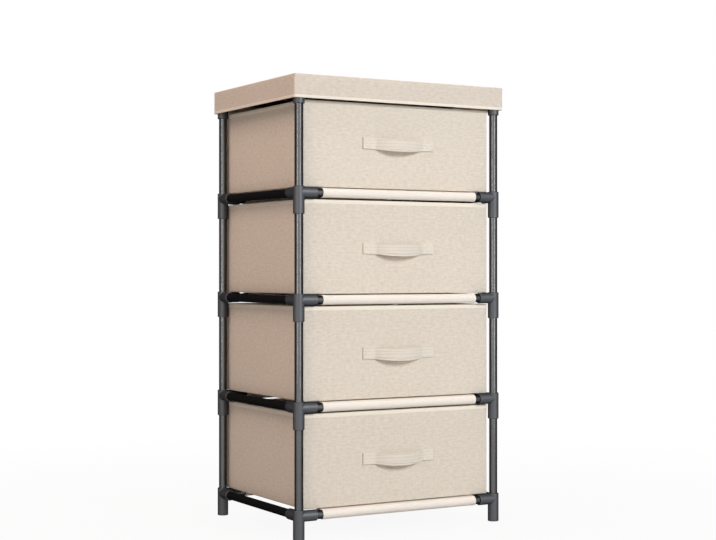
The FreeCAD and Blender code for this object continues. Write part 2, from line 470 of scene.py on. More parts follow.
@dataclass(frozen=True)
class RibbedWebbing(Finish):
    """Strap webbing with fine ribs along its length."""

    rib: float = 1.5 * MM
    depth: float = 0.35 * MM
    rows: float = 2.2                  # weft rows to the width of a rib
    row_height: float = 0.3            # against 1 for a rib's
    valley_shade: float = 0.88               # tone between the ribs: painted shade
    crest: float = 0.16                # how much lighter a rib is than that: painted light on its crest
    stripe: float = 6.0 * MM           # from one broad stripe of thicker warp to the next
    stripe_tone: float = 0.05
    yarns: int = 3                     # to the width of a rib
    slub: float = 0.04
    mottle: float = 0.02
    gap_shade: float = 0.1
    shine: float = 0.25
    fuzz: float = 0.1

    def wire(self, wiring: Wiring, shader: Node) -> None:
        """Run ribs along the strap, crossed by closer weft yarns.

        Args:
            wiring: the material's nodes.
            shader: its main shader.
        """
        place = wiring.on_cloth()
        split = wiring.split(place)
        ribs = wiring.wave(Wave.SINE, split.outputs["X"], math.pi / self.rib)
        rows = wiring.wave(Wave.SINE, split.outputs["Y"], self.rows * math.pi / self.rib)
        height = wiring.calc("MULTIPLY_ADD", wiring.calc("ABSOLUTE", rows), self.row_height,
                             wiring.calc("ABSOLUTE", ribs))
        stripes = wiring.wave(Wave.COSINE, split.outputs["X"], math.tau / self.stripe)
        weave = wiring.effect(plain_weave(), {"Vector": place, "Yarn": self.rib / self.yarns,
                                              "Slub": self.slub, "Mottle": self.mottle,
                                              "GapShade": self.gap_shade})
        # Painted light and shade: the tone follows the ribs' height, lighter on their crests and darker
        # between them.
        tone = wiring.calc("MULTIPLY_ADD", height, self.crest, self.valley_shade)
        tone = wiring.calc("MULTIPLY_ADD", stripes, self.stripe_tone, tone)
        self.tint(wiring, shader, wiring.calc("MULTIPLY", tone, weave.outputs["Tone"]))
        wiring.feed_all(shader, {
            "Normal": wiring.relief(height, self.depth),
            "Specular IOR Level": self.shine,
            "Sheen Weight": self.fuzz})


@dataclass(frozen=True)
class BondedLining(Finish):
    """Non-woven lining, bonded in a close grid of small dimples."""

    dimple: float = 2.2 * MM
    depth: float = 0.25 * MM
    dimple_height: float = -0.6
    dimple_shade: float = -0.06
    dimple_blend: float = 0.5
    fibre: float = 0.7 * MM
    fibre_height: float = 0.4
    fibre_contrast: float = 0.05
    shine: float = 0.3

    def wire(self, wiring: Wiring, shader: Node) -> None:
        """Press dimples in staggered rows into a fibrous ground.

        Args:
            wiring: the material's nodes.
            shader: its main shader.
        """
        place = wiring.on_cloth()
        split = wiring.split(place)
        waves = [wiring.wave(Wave.COSINE, split.outputs[label], math.pi / self.dimple)
                 for label in ("X", "Y")]
        bond = wiring.calc("SMOOTH_MIN", wiring.calc("ABSOLUTE", wiring.calc("ADD", *waves)), 1.0,
                           self.dimple_blend)
        fibres = wiring.effect(fine_grain(), {"Vector": place, "Size": self.fibre,
                                              "Contrast": self.fibre_contrast})
        height = wiring.calc("MULTIPLY_ADD", fibres.outputs["Height"], self.fibre_height,
                             wiring.calc("MULTIPLY", bond, self.dimple_height))
        # Painted shade: the lining is darker in its pressed dimples.
        self.tint(wiring, shader, wiring.calc("MULTIPLY_ADD", bond, self.dimple_shade,
                                              fibres.outputs["Tone"]))
        wiring.feed_all(shader, {
            "Normal": wiring.relief(height, self.depth),
            "Specular IOR Level": self.shine})


@dataclass(frozen=True)
class SewingThread(Finish):
    """Two-ply thread of a stitch."""

    ply: float = 0.5 * MM
    ply_shade: float = 0.06

    def wire(self, wiring: Wiring, shader: Node) -> None:
        """Draw slanting plies as painted light and shade: bands that lighten and darken along the twist.

        Args:
            wiring: the material's nodes.
            shader: its main shader.
        """
        split = wiring.split(wiring.on_object())
        along = wiring.calc("ADD", wiring.calc("ADD", split.outputs["X"], split.outputs["Y"]),
                            split.outputs["Z"])
        plies = wiring.wave(Wave.SINE, along, math.tau / self.ply)
        # Painted light and shade along the plies of the thread.
        self.tint(wiring, shader, wiring.calc("MULTIPLY_ADD", plies, self.ply_shade, 1.0))


@dataclass(frozen=True, kw_only=True)
class GlossyShell(Finish):
    """Dark surface with a clear gloss that is full face-on and fades towards its rims."""

    grain: float
    contrast: float                    # of the grain, as a share of the colour
    depth: float
    fade: float                        # how fast the gloss goes as the surface turns away
    gloss_index: float                 # the gloss's index of refraction
    unevenness: float = 0.12           # of the gloss, over the surface

    def wire(self, wiring: Wiring, shader: Node) -> None:
        """Put fine grain under a slowly changing gloss.

        Args:
            wiring: the material's nodes.
            shader: its main shader.
        """
        grain = wiring.effect(fine_grain(), {"Vector": wiring.on_object(), "Size": self.grain,
                                             "Contrast": self.contrast})
        self.tint(wiring, shader, grain.outputs["Tone"])
        facing = wiring.add("ShaderNodeLayerWeight", {"Blend": 0.5}).outputs["Facing"]
        uneven = wiring.calc("MULTIPLY_ADD", grain.outputs["Unevenness"], self.unevenness, 1.0)
        wiring.feed_all(shader, {
            "Normal": wiring.relief(grain.outputs["Height"], self.depth),
            "Coat Weight": wiring.calc("MULTIPLY_ADD", facing, -self.fade, uneven, clamp=True),
            "Coat Roughness": self.roughness,
            "Coat IOR": self.gloss_index,
            "Specular IOR Level": 0.0})


@dataclass(frozen=True)
class PressedBoard(Finish):
    """Fibreboard or greyboard with short fibres in its face."""

    fibre: float = 1.1 * MM
    contrast: float = 0.18
    mottle: float = 0.08
    depth: float = 0.08 * MM

    def wire(self, wiring: Wiring, shader: Node) -> None:
        """Scatter mottled fibres.

        Args:
            wiring: the material's nodes.
            shader: its main shader.
        """
        fibres = wiring.effect(fine_grain(), {"Vector": wiring.on_object(), "Size": self.fibre,
                                              "Contrast": self.contrast})
        self.tint(wiring, shader, wiring.calc("MULTIPLY_ADD", fibres.outputs["Unevenness"],
                                              self.mottle, fibres.outputs["Tone"]))
        wiring.feed(shader.inputs["Normal"], wiring.relief(fibres.outputs["Height"], self.depth))


LINEN = WovenCloth("linen", Colour(228, 217, 202), 0.9, slub=0.165)
# Painted shade: the drawers' linen made darker, so that the cover, which nothing shades, renders no
# brighter than the drawer fronts.
SHADED_COVER_LINEN = WovenCloth("shaded_cover_linen", Colour(219, 208, 194), 0.9, slub=0.165)
# Binding tape, lighter than the linen; part of that lightness is painted light that lifts the rims and
# the cover's hem out of their shade.
BINDING_WITH_PAINTED_LIGHT = WovenCloth("binding_linen_with_painted_light", Colour(244, 234, 219), 0.9, yarn=0.5 * MM, slub=0.05)
WHITE_CLOTH = WovenCloth("shelf_cloth", Colour(246, 238, 227), 0.85, yarn=0.5 * MM, slub=0.02)
WEBBING = RibbedWebbing("webbing", Colour(229, 220, 206), 0.8)
LINING = BondedLining("lining", Colour(214, 203, 187), 0.75)
THREAD = SewingThread("thread", Colour(245, 238, 226), 0.6)
ENAMEL = GlossyShell("black_enamel", Colour(27, 27, 29), 0.20, grain=0.9 * MM, contrast=0.05,
                     depth=0.004 * MM, fade=2.8, gloss_index=2.1)
PLASTIC = GlossyShell("dark_plastic", Colour(60, 63, 68), 0.42, grain=0.6 * MM, contrast=0.12,
                      depth=0.03 * MM, fade=1.7, gloss_index=1.65)
FIBREBOARD = PressedBoard("fibreboard", Colour(176, 142, 102), 0.75)
GREYBOARD = PressedBoard("greyboard", Colour(150, 144, 134), 0.8)


# --------------------------------------------------------------------------------------------------
# Mesh work


def spaced(low: float, high: float, pitch: float) -> list[float]:
    """Places strictly between two ends, evenly spaced by about a pitch."""
    count = max(1, round((high - low) / pitch))
    return [low + (high - low) * index / count for index in range(1, count)]


def eased(share: float) -> float:
    """A smooth rise from 0 to 1, for a share that may lie beyond either end."""
    share = max(0.0, min(1.0, share))
    return share * share * (3 - 2 * share)


def box_mesh(box: Box) -> BMesh:
    """Build a plain box.

    Args:
        box: the space that it fills.

    Returns:
        The new mesh.
    """
    mesh = bmesh.new()
    place = Matrix.Translation(box.centre) @ Matrix.Diagonal((*box.size, 1.0))
    bmesh.ops.create_cube(mesh, size=1.0, matrix=place)
    return mesh


def round_edges(mesh: BMesh, edges: Sequence[BMEdge], radius: float, segments: int) -> None:
    """Bevel edges to a round of one radius."""
    bmesh.ops.bevel(mesh, geom=list(edges), offset=radius, offset_type="OFFSET", affect="EDGES",
                    segments=segments, profile=0.5, material=-1, clamp_overlap=True)


def upright_edges(mesh: BMesh) -> list[BMEdge]:
    """Edges that run up and down."""
    return [edge for edge in mesh.edges
            if (edge.verts[0].co.xy - edge.verts[1].co.xy).length < TINY]


def level_edges(mesh: BMesh, z: float) -> list[BMEdge]:
    """Edges that lie at one height."""
    return [edge for edge in mesh.edges if all(abs(vert.co.z - z) < TINY for vert in edge.verts)]


def open_side(mesh: BMesh, z: float) -> None:
    """Take away the faces that lie at one height."""
    faces = [face for face in mesh.faces if all(abs(vert.co.z - z) < TINY for vert in face.verts)]
    bmesh.ops.delete(mesh, geom=faces, context="FACES_ONLY")


def cut_across(mesh: BMesh, axis: Axis, places: Iterable[float]) -> None:
    """Cut all faces by planes square to an axis, so that the cloth can bend there.

    Args:
        mesh: the cloth.
        axis: the axis that the planes are square to.
        places: where each plane stands on it.
    """
    for place in places:
        geometry = mesh.verts[:] + mesh.edges[:] + mesh.faces[:]
        bmesh.ops.bisect_plane(mesh, geom=geometry, dist=TINY, plane_co=axis.unit * place,
                               plane_no=axis.unit)


def cut_to_grid(mesh: BMesh, box: Box, pitch: float, axes: Iterable[Axis] = tuple(Axis)) -> None:
    """Cut the walls of a box into a grid, so that the cloth can swell.

    Args:
        mesh: the cloth.
        box: the box that its walls lie on.
        pitch: from one cut to the next.
        axes: the axes that are cut across.
    """
    for axis in axes:
        cut_across(mesh, axis, spaced(box.low[axis.value], box.high[axis.value], pitch))


def thicken(mesh: BMesh, thickness: float) -> None:
    """Give a sheet its thickness, on its inner side."""
    bmesh.ops.recalc_face_normals(mesh, faces=mesh.faces[:])
    bmesh.ops.solidify(mesh, geom=mesh.faces[:], thickness=thickness)


def wall_of(vert: BMVert, box: Box) -> tuple[Axis, float] | None:
    """Find which wall of a box a point lies on.

    Args:
        vert: the point.
        box: the box.

    Returns:
        The wall's axis and -1 or 1 for its side, or nothing for a point on a rounded corner.
    """
    for axis in Axis:
        for side, place in ((-1.0, box.low), (1.0, box.high)):
            if abs(vert.co[axis.value] - place[axis.value]) < TINY:
                return axis, side
    return None


def ruffle(mesh: BMesh, box: Box, depth: float, wavelength: float, calm: float) -> None:
    """Let flat cloth walls wander in and out a little, and keep them flat near their edges.

    Args:
        mesh: the cloth, before it has a thickness.
        box: the box that its flat walls lie on.
        depth: most that a wall moves.
        wavelength: from one swelling to the next.
        calm: width of the border in which the swelling fades out.
    """
    for vert in mesh.verts:
        wall = wall_of(vert, box)
        if wall is None:
            continue
        axis, side = wall
        fade = 1.0
        for other in Axis:
            if other is not axis:
                place = vert.co[other.value]
                edge = min(place - box.low[other.value], box.high[other.value] - place)
                fade *= eased(edge / calm)
        vert.co[axis.value] += side * depth * fade * noise.noise(vert.co / wavelength)


def press_groove(mesh: BMesh, box: Box, along: Axis, place: float, depth: float) -> None:
    """Press a seam line into the walls that it crosses; the mesh is already cut there.

    Args:
        mesh: the cloth, before it has a thickness.
        box: the box that its flat walls lie on.
        along: axis on which the seam line has one fixed place.
        place: that place.
        depth: how far the cloth is drawn in.
    """
    for vert in mesh.verts:
        wall = wall_of(vert, box)
        if wall and wall[0] not in (along, Axis.Z) and abs(vert.co[along.value] - place) < TINY:
            vert.co[wall[0].value] -= wall[1] * depth


def lay_out(mesh: BMesh, swept: Axis) -> None:
    """Give each face its place on the flat cloth, in metres, for the weave to follow.

    Args:
        mesh: the finished shape.
        swept: axis across a cloth whose run was traced; other cloth is laid out wall by wall.
    """
    cloth_map = mesh.loops.layers.uv.new(CLOTH_MAP)
    run = mesh.verts.layers.float.get(RUN_LAYER)
    for face in mesh.faces:
        x, y, z = (abs(part) for part in face.normal)
        across, along = (1, 2) if x > max(y, z) else (0, 2) if y > z else (0, 1)
        for loop in face.loops:
            place = loop.vert.co
            loop[cloth_map].uv = ((place[swept.value], loop.vert[run]) if run
                                  else (place[across], place[along]))


def make_piece(mesh: BMesh, name: str, body: str, finish: Finish,
               swept: Axis = Axis.X) -> Object:
    """Turn mesh work into a dressed piece that rides on its body.

    Args:
        mesh: the finished shape; it is freed.
        name: the piece's name.
        body: the CAD body that it moves with.
        finish: what its surface looks like.
        swept: axis across a cloth whose run was traced.

    Returns:
        The new object.
    """
    mesh.normal_update()
    lay_out(mesh, swept)
    for face in mesh.faces:
        face.smooth = True
    for edge in mesh.edges:
        edge.smooth = len(edge.link_faces) != 2 or edge.calc_face_angle() < SMOOTH_LIMIT
    data = bpy.data.meshes.new(name)
    mesh.to_mesh(data)
    mesh.free()
    data.materials.append(finish.material())
    piece = bpy.data.objects.new(name, data)
    bpy.context.scene.collection.objects.link(piece)
    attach(piece, body)
    LOG.info("%s: %d faces", name, len(data.polygons))
    return piece


class Trace:
    """A line drawn in straight runs and turns, which is then swept into a sheet of cloth."""

    def __init__(self, start: Vector) -> None:
        """Begin a line.

        Args:
            start: its first point.
        """
        self.mesh = bmesh.new()
        self.run = self.mesh.verts.layers.float.new(RUN_LAYER)
        self.front: list[BMVert | BMEdge] = [self.mesh.verts.new(start)]

    def sweep(self, **path: object) -> None:
        """Carry the front along a path, and leave what it passes over.

        Args:
            **path: centre, axis, angle, step and steps of the path, as spin takes them.
        """
        self.front = bmesh.ops.spin(self.mesh, geom=self.front, use_merge=False, use_duplicate=False,
                                    **path)["geom_last"]

    def turn(self, centre: Vector, axis: Axis, angle: float, steps: int) -> None:
        """Go round a centre by an angle."""
        self.sweep(cent=centre, axis=axis.unit, dvec=(0, 0, 0), angle=angle, steps=steps)

    def advance(self, way: Vector, steps: int = 1) -> None:
        """Go straight on, in a number of equal steps."""
        self.sweep(cent=(0, 0, 0), axis=Axis.Z.unit, dvec=way / steps, angle=0.0, steps=steps)

    def close_line(self) -> float:
        """End the line: note each point's distance along it, and take the whole line as the front.

        Returns:
            The line's length.
        """
        length = 0.0
        points = self.mesh.verts[:]
        for before, point in zip(points, points[1:]):
            length += (point.co - before.co).length
            point[self.run] = length
        self.front = points + self.mesh.edges[:]
        return length


@dataclass(frozen=True)
class Stitch:
    """One stitch: a short rounded stretch of thread, half sunk into the cloth."""

    length: float = 2.6 * MM
    pitch: float = 3.4 * MM
    thickness: float = 0.5 * MM
    proud: float = 0.12 * MM
    sides: int = 6
    rings: int = 4


class Sewing:
    """Rows of stitches, gathered into one mesh."""

    def __init__(self, stitch: Stitch = Stitch()) -> None:
        """Begin with no stitches."""
        self.stitch = stitch
        self.mesh = bmesh.new()

    def repeat(self, middle: Vector, along: Vector, outward: Vector, count: int, **path: object) -> None:
        """Make one stitch and repeat it along a path.

        Args:
            middle: middle of the first stitch, on the cloth.
            along: the way that the first stitch runs.
            outward: the way that the cloth faces there.
            count: number of stitches.
            **path: centre, axis, angle and step of the path, as spin takes them.
        """
        stitch = self.stitch
        turned = Matrix((along, outward.cross(along), outward)).transposed().to_4x4()
        scale = Matrix.Diagonal((stitch.length / 2, stitch.thickness / 2, stitch.thickness / 2, 1.0))
        place = Matrix.Translation(middle + outward * stitch.proud) @ turned @ scale
        row = bmesh.new()
        bmesh.ops.create_uvsphere(row, u_segments=stitch.sides, v_segments=stitch.rings, radius=1.0,
                                  matrix=place)
        if count > 1:
            bmesh.ops.spin(row, geom=row.verts[:] + row.edges[:] + row.faces[:], steps=count - 1,
                           use_merge=False, use_duplicate=True, **path)
        data = bpy.data.meshes.new("row")
        row.to_mesh(data)
        row.free()
        self.mesh.from_mesh(data)
        bpy.data.meshes.remove(data)

    def straight(self, start: Vector, end: Vector, outward: Vector) -> None:
        """Add one straight row.

        Args:
            start: one end of the row, on the cloth.
            end: its other end.
            outward: the way that the cloth faces there.
        """
        row = end - start
        count = max(1, round(row.length / self.stitch.pitch))
        step = row / count
        self.repeat(start + step / 2, row.normalized(), outward, count, cent=(0, 0, 0),
                    axis=Axis.Z.unit, dvec=step, angle=0.0)

    def level_round(self, box: Box, z: float, corner: float, outward: float) -> None:
        """Add a level row round the four walls of a box.

        Args:
            box: the box whose walls are sewn.
            z: height of the row.
            corner: length left out at each end of a wall.
            outward: 1 on the outside of the walls, -1 on their inside.
        """
        low, high = box.low, box.high
        for x, facing in ((low.x, -1.0), (high.x, 1.0)):
            self.straight(Vector((x, low.y + corner, z)), Vector((x, high.y - corner, z)),
                          Axis.X.unit * (facing * outward))
        for y, facing in ((low.y, -1.0), (high.y, 1.0)):
            self.straight(Vector((low.x + corner, y, z)), Vector((high.x - corner, y, z)),
                          Axis.Y.unit * (facing * outward))


@dataclass(frozen=True)
class FoldedTape:
    """Tape folded over the upper or lower edge of four cloth walls, all the way round."""

    band: Box                          # outside of the tape
    wall: float                        # thickness of what stands in its fold
    tape: float
    corner_radius: float
    grid: float
    over_top: bool
    least_radius: float = 1.0 * MM     # of the corners on its inner side
    crest_share: float = 0.28          # radius of its folds, as a share of the whole thickness
    crest_segments: int = 3

    def core(self, depth: float) -> tuple[Box, float]:
        """Find the corners' centres at a depth inside the tape's outside.

        Args:
            depth: how far inside.

        Returns:
            The box between the centres, and the corners' radius.
        """
        radius = max(self.corner_radius - depth, self.least_radius)
        return self.band.grown(-depth - radius, -depth - radius), radius

    def moved(self, place: Vector, depth: float, new_depth: float, z: float) -> Vector:
        """Find where a point goes when the fold moves on.

        Args:
            place: the point.
            depth: how far it lies inside the tape's outside.
            new_depth: how far inside it goes.
            z: the height that it goes to.

        Returns:
            Its new place.
        """
        (core, radius), (new_core, new_radius) = self.core(depth), self.core(new_depth)
        new = []
        for axis in (Axis.X.value, Axis.Y.value):
            low, high = core.low[axis], core.high[axis]
            if place[axis] < low + TINY:
                new.append(new_core.low[axis] + (place[axis] - low) * new_radius / radius)
            elif place[axis] > high - TINY:
                new.append(new_core.high[axis] + (place[axis] - high) * new_radius / radius)
            else:
                new.append(place[axis])
        return Vector((*new, z))

    def make(self) -> BMesh:
        """Build the tape: its lower outer rim, taken round the outline of the fold.

        Returns:
            The tape's mesh.
        """
        box = self.band
        low, high = box.low.z, box.high.z
        mesh = box_mesh(box)
        round_edges(mesh, upright_edges(mesh), self.corner_radius, CORNER_SEGMENTS)
        open_side(mesh, high)
        open_side(mesh, low)
        cut_to_grid(mesh, box, self.grid, (Axis.X, Axis.Y))
        upper = [vert for vert in mesh.verts if vert.co.z > low + TINY]
        bmesh.ops.delete(mesh, geom=upper, context="VERTS")
        inner, thickness = self.tape + self.wall, 2 * self.tape + self.wall
        fold = ((0.0, high), (thickness, high), (thickness, low), (inner, low),
                (inner, high - self.tape), (self.tape, high - self.tape), (self.tape, low), (0.0, low))
        rim, depth = mesh.edges[:], 0.0
        for new_depth, z in fold:
            swept = bmesh.ops.extrude_edge_only(mesh, edges=rim)["geom"]
            rim = [part for part in swept if isinstance(part, BMEdge)]
            for vert in {vert for edge in rim for vert in edge.verts}:
                vert.co = self.moved(vert.co, depth, new_depth, z)
            depth = new_depth
        bmesh.ops.remove_doubles(mesh, verts=mesh.verts[:], dist=MERGE_LIMIT)
        bmesh.ops.recalc_face_normals(mesh, faces=mesh.faces[:])
        mesh.normal_update()
        crest = [edge for edge in level_edges(mesh, high) if edge.calc_face_angle(0.0) > SMOOTH_LIMIT]
        round_edges(mesh, crest, thickness * self.crest_share, self.crest_segments)
        if not self.over_top:
            turn = Matrix.Translation(box.centre) @ Matrix.Scale(-1.0, 4, Axis.Z.unit)
            bmesh.ops.transform(mesh, matrix=turn @ Matrix.Translation(-box.centre), verts=mesh.verts[:])
            bmesh.ops.reverse_faces(mesh, faces=mesh.faces[:])
        return mesh


# --------------------------------------------------------------------------------------------------
# Sub-assemblies


@dataclass
class TubeFrame:
    """Posts, rails, connectors and boards: CAD pieces that keep their shape and get their finish."""

    finishes: tuple[tuple[str, Finish], ...] = (
        ("front_rail", ENAMEL),
        ("rear_rail", ENAMEL),
        ("side_rails", ENAMEL),
        ("post_tubes", ENAMEL),
        ("top_corner_connectors", PLASTIC),
        ("tee_connectors", PLASTIC),
        ("foot_connectors", PLASTIC),
        ("top_board", FIBREBOARD),
        ("drawer", GREYBOARD),
    )

    def dress(self) -> None:
        """Give every CAD node its finish by the start of its name."""
        for name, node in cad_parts.items():
            for start, finish in self.finishes:
                if name.startswith(start):
                    for place in node.material_slots:
                        place.material = finish.material()
            LOG.info("%s dressed", name)


@dataclass
class ShelfPanel:
    """Cloth shelf with a sleeve sewn round the front rail and the rear rail of its tier."""

    tier: int
    cloth: float = 0.8 * MM
    rail_radius: float = 8.0 * MM
    clearance: float = 0.05 * MM
    sag: float = 2.5 * MM
    seam_inset: float = 21.0 * MM      # rail axis to the seam that closes the sleeve
    seam_overlap: float = 1.5 * MM     # that seam to its stitches
    flap_steps: int = 4
    wrap_steps: int = 22
    span_steps: int = 18
    hem: float = 7.0 * MM
    hem_steps: int = 2
    hem_fold: float = 0.5 * MM         # height of the step where the hem's second layer ends
    hem_step: float = 0.8 * MM
    hem_stitch: float = 6.0 * MM       # in from the cloth's end
    seam_end: float = 2.0 * MM         # from the cloth's end to the first stitch of a sleeve's seam
    slack: float = 0.35 * MM           # unevenness of the sleeves
    slack_length: float = 60.0 * MM
    row_pitch: float = 17.0 * MM

    def __post_init__(self) -> None:
        """Take the places from the frame."""
        self.node = f"shelf_panel_{self.tier}"
        self.box = Box.of_node(self.node)
        self.radius = self.rail_radius + self.clearance + self.cloth
        self.rail_z = self.box.high.z - self.radius
        self.front_y = self.box.low.y + self.radius
        self.rear_y = self.box.high.y - self.radius

    def drop(self, y: float) -> float:
        """How far the span hangs down at a place between the rails."""
        across = (y - self.front_y) / (self.rear_y - self.front_y)
        return self.sag * math.sin(math.pi * across) ** 2 if 0 < across < 1 else 0.0

    def draw_outside(self) -> tuple[Trace, float]:
        """Draw the cloth's outer side at its left end, from one sleeve's seam to the other's.

        Returns:
            The line, and its length.
        """
        left = self.box.low.x
        seam = Vector((left, self.front_y + self.seam_inset, self.box.high.z - 2 * self.cloth))
        rail = Vector((left, self.front_y, self.rail_z))
        away = seam - rail
        lean = math.acos(self.radius / away.length) - math.atan2(away.z, away.y)
        tangent = rail + self.radius * Vector((0, math.cos(lean), -math.sin(lean)))
        wrap = 1.5 * math.pi - lean
        span = Axis.Y.unit * (self.rear_y - self.front_y)
        line = Trace(seam)
        line.advance(tangent - seam, self.flap_steps)
        line.turn(rail, Axis.X, -wrap, self.wrap_steps)
        line.advance(span, self.span_steps)
        line.turn(rail + span, Axis.X, -wrap, self.wrap_steps)
        line.advance(Vector((0, tangent.y - seam.y, seam.z - tangent.z)), self.flap_steps)
        return line, line.close_line()

    def settle(self, mesh: BMesh) -> None:
        """Let the span sag, the sleeves wander and the hems stand up at both ends.

        Args:
            mesh: the cloth, before it has a thickness.
        """
        mesh.normal_update()
        for vert in mesh.verts:
            place = vert.co.copy()
            if place.z > self.box.high.z - TINY:
                vert.co.z -= self.drop(place.y)
            end = min(place.x - self.box.low.x, self.box.high.x - place.x)
            if end < self.hem:
                vert.co += vert.normal * self.hem_fold
            elif place.z < self.rail_z + self.radius / 2:
                uneven = 0.5 + 0.5 * noise.noise(place / self.slack_length)
                vert.co += vert.normal * self.slack * uneven

    def make_cloth(self) -> tuple[Object, float]:
        """Build the panel as one sheet.

        Returns:
            The piece, and the length of its run.
        """
        line, run = self.draw_outside()
        middle = self.box.size.x - 2 * (self.hem + self.hem_step)
        hem, step = (self.hem, self.hem_steps), (self.hem_step, 1)
        for width, steps in (hem, step, (middle, round(middle / self.row_pitch)), step, hem):
            line.advance(Axis.X.unit * width, steps)
        mesh = line.mesh
        bmesh.ops.recalc_face_normals(mesh, faces=mesh.faces[:])
        self.settle(mesh)
        thicken(mesh, self.cloth)
        piece = make_piece(mesh, f"shelf_cloth_{self.tier}", "frame", WHITE_CLOTH)
        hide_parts(self.node)
        return piece, run

    def make_stitches(self) -> Object:
        """Sew the seams that close the sleeves, and the hem seams round the outside of each sleeve.

        Returns:
            The stitches, as one piece.
        """
        sewing = Sewing()
        low, high = self.box.low, self.box.high
        inset = self.seam_inset - self.seam_overlap
        left, right = low.x + self.seam_end, high.x - self.seam_end
        for y in (self.front_y + inset, self.rear_y - inset):
            z = high.z - self.drop(y)
            sewing.straight(Vector((left, y, z)), Vector((right, y, z)), Axis.Z.unit)
        radius = self.radius + self.hem_fold
        half_turn = math.pi
        count = round(half_turn * radius / sewing.stitch.pitch)
        for y, angle in ((self.front_y, half_turn), (self.rear_y, -half_turn)):
            for x in (low.x + self.hem_stitch, high.x - self.hem_stitch):
                sewing.repeat(Vector((x, y, self.rail_z + radius)), Axis.Y.unit, Axis.Z.unit, count,
                              cent=(x, y, self.rail_z), axis=Axis.X.unit, dvec=(0, 0, 0), angle=angle)
        return make_piece(sewing.mesh, f"shelf_stitches_{self.tier}", "frame", THREAD)

    def build(self) -> None:
        """Make the panel and its stitches."""
        cloth, run = self.make_cloth()
        stitches = self.make_stitches()


@dataclass
class FittedCover:
    """Cloth cover over the top board: a flat top, a skirt that hangs from it, and a taped hem."""

    cloth: float = 0.8 * MM
    corner_radius: float = 4.0 * MM
    edge_radius: float = 2.0 * MM
    edge_segments: int = 3
    grid: float = 22.0 * MM
    swelling: float = 0.5 * MM
    swelling_length: float = 120.0 * MM
    calm_border: float = 16.0 * MM
    seam_drop: float = 4.5 * MM        # top of the cover down to the seam of the skirt
    seam_width: float = 0.9 * MM
    seam_depth: float = 0.3 * MM
    hem: float = 5.0 * MM
    hem_tape: float = 0.35 * MM
    hem_stitch: float = 3.4 * MM       # up from the lower edge

    def __post_init__(self) -> None:
        """Take the places from the frame."""
        self.box = Box.of_node("top_cover")
        self.seam_z = self.box.high.z - self.seam_drop

    def make_cloth(self) -> Object:
        """Build the top and the skirt, as one sheet that was cut and sewn at its corners.

        Returns:
            The cloth.
        """
        box, seam = self.box, self.seam_z
        mesh = box_mesh(box)
        round_edges(mesh, upright_edges(mesh), self.corner_radius, CORNER_SEGMENTS)
        round_edges(mesh, level_edges(mesh, box.high.z), self.edge_radius, self.edge_segments)
        open_side(mesh, box.low.z)
        cut_to_grid(mesh, box, self.grid)
        cut_across(mesh, Axis.Z, (seam - self.seam_width, seam, seam + self.seam_width))
        ruffle(mesh, box, self.swelling, self.swelling_length, self.calm_border)
        press_groove(mesh, box, Axis.Z, seam, self.seam_depth)
        thicken(mesh, self.cloth)
        piece = make_piece(mesh, "cover_cloth", "frame", SHADED_COVER_LINEN)
        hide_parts("top_cover")
        return piece

    def make_hem(self) -> Object:
        """Fold tape round the lower edge of the skirt.

        Returns:
            The tape.
        """
        band = self.box.grown(self.hem_tape, self.hem_tape).between(
            Axis.Z, self.box.low.z - self.hem_tape, self.box.low.z + self.hem)
        tape = FoldedTape(band, self.cloth, self.hem_tape, self.corner_radius + self.hem_tape,
                          self.grid, over_top=False)
        return make_piece(tape.make(), "cover_hem", "frame", BINDING_WITH_PAINTED_LIGHT)

    def make_stitches(self) -> Object:
        """Sew along the hem and along the seam under the top edge.

        Returns:
            The stitches, as one piece.
        """
        sewing = Sewing()
        outside = self.box.grown(self.hem_tape, self.hem_tape)
        sewing.level_round(outside, self.box.low.z + self.hem_stitch, self.corner_radius, 1.0)
        sunk = self.box.grown(-self.seam_depth, -self.seam_depth)
        sewing.level_round(sunk, self.seam_z, self.corner_radius, 1.0)
        return make_piece(sewing.mesh, "cover_stitches", "frame", THREAD)

    def build(self) -> None:
        """Make the cover, its hem and its stitches."""
        cloth = self.make_cloth()
        trim = [self.make_hem(), self.make_stitches()]


